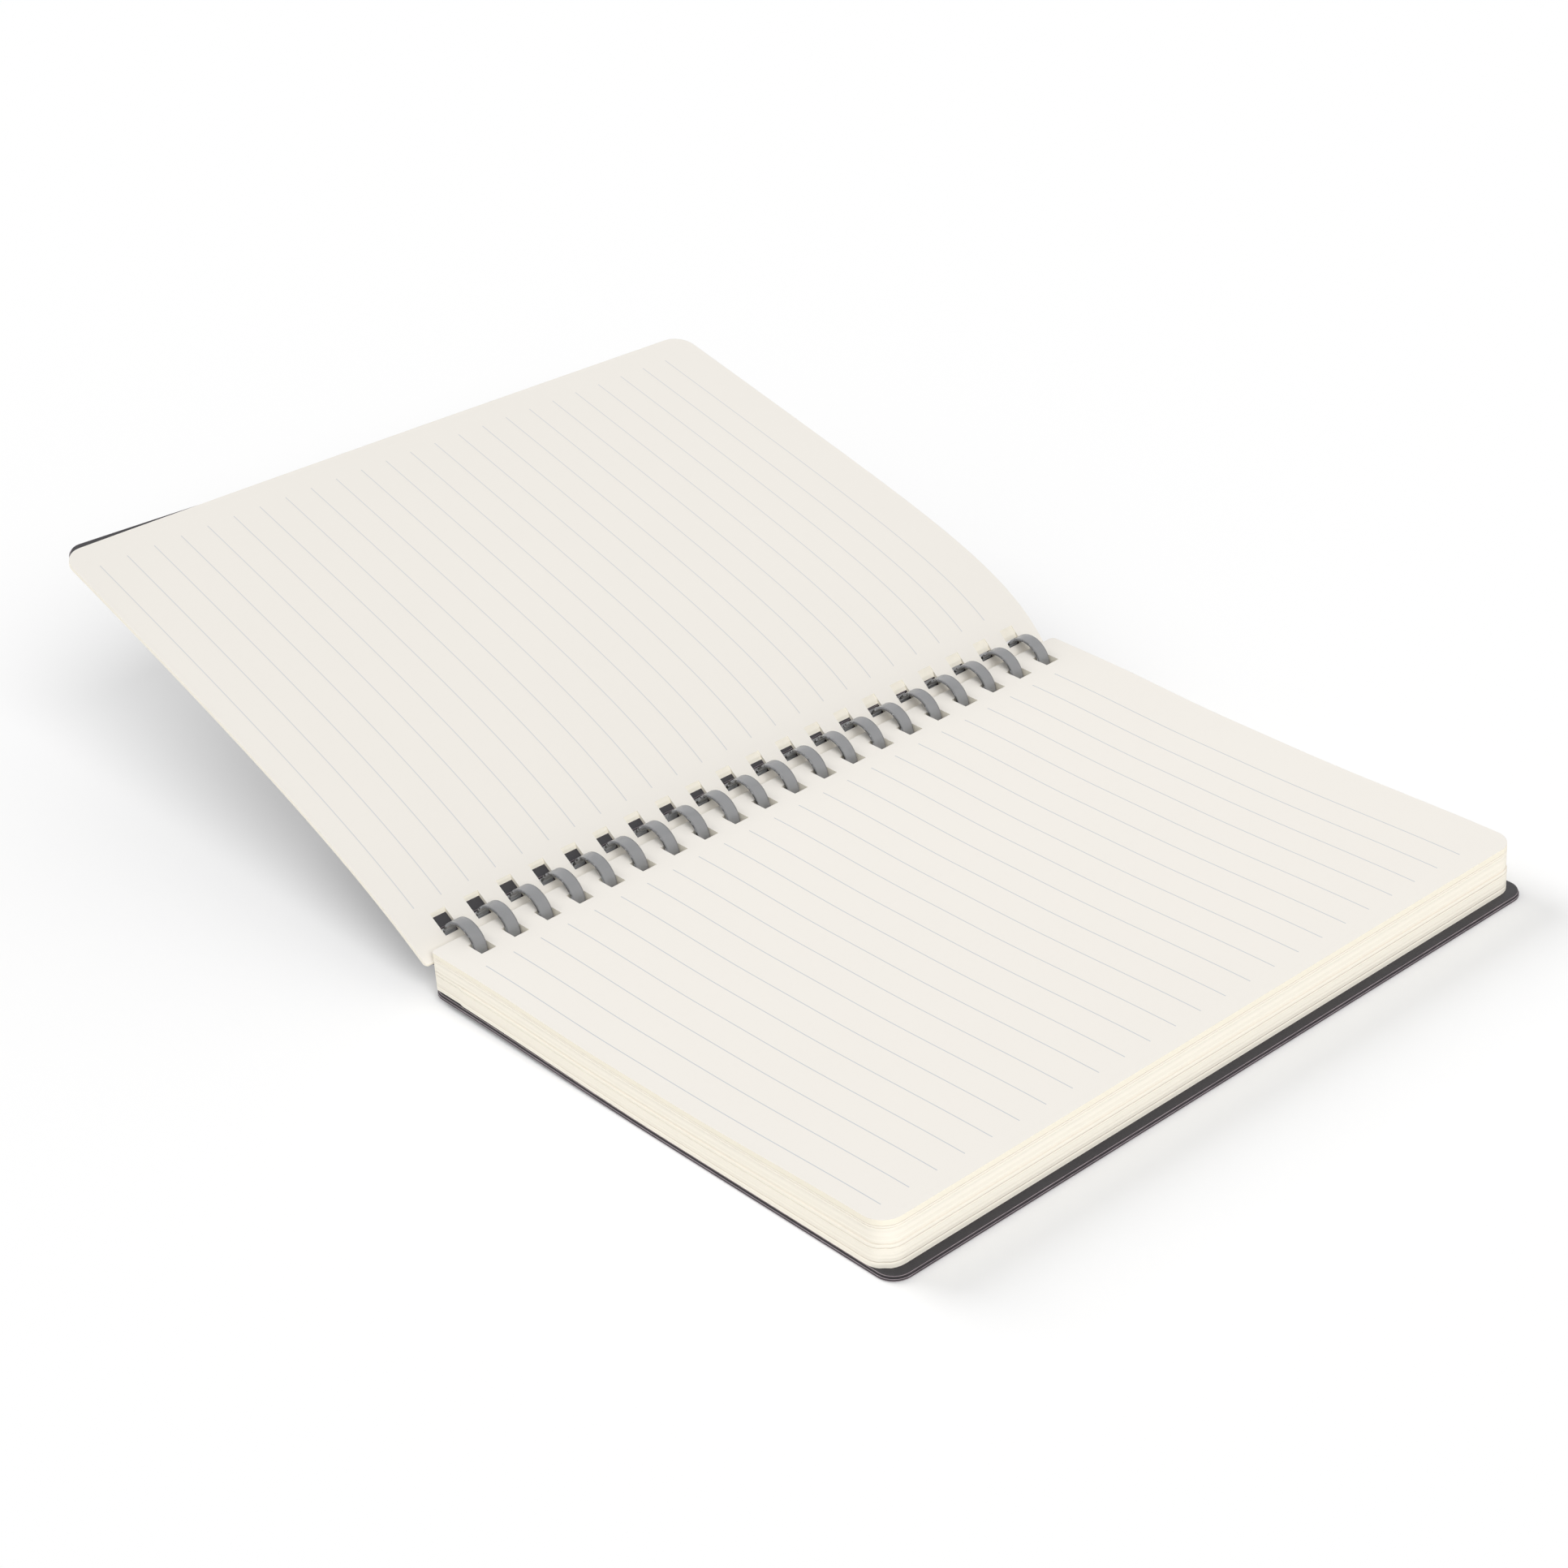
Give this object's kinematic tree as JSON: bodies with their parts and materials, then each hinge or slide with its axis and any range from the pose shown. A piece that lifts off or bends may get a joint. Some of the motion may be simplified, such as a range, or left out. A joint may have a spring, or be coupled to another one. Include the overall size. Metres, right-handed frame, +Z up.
{
  "type": "open ring-bound notebook",
  "caption": "Ruled notebook lying open on a plastic comb binding, with a thick page block on a dark back cover and a few turned leaves raised on the front cover.",
  "frame": {"origin": "middle of the back cover's flat underside, on the table that it lies on", "axes": "+X from the binding across the lying half to its fore-edge, +Y along the binding away from the viewer's near side, +Z up from the table"},
  "size_m": [0.2916, 0.2029, 0.067],
  "materials": {
    "comb_plastic": "smooth, slightly translucent grey",
    "cover_skin": "fine-grained charcoal cover cloth",
    "cover_lining": "smooth matt charcoal lining",
    "paper": "uncoated cream-white ruled paper"
  },
  "bodies": {
    "book": {"comb_binding": "comb_plastic", "back_cover_skin": "cover_skin", "back_cover_lining": "cover_lining", "page_block": "paper"},
    "front": {"turned_leaves": "paper", "front_cover_lining": "cover_lining", "front_cover_skin": "cover_skin"}
  },
  "joints": [
    {"name": "front_cover_hinge", "type": "hinge", "parent": "book", "child": "front", "pos_m": [-0.11666, 0, 0.0112], "axis": [0, 1, 0], "range_deg": [-5, 130]}
  ]
}
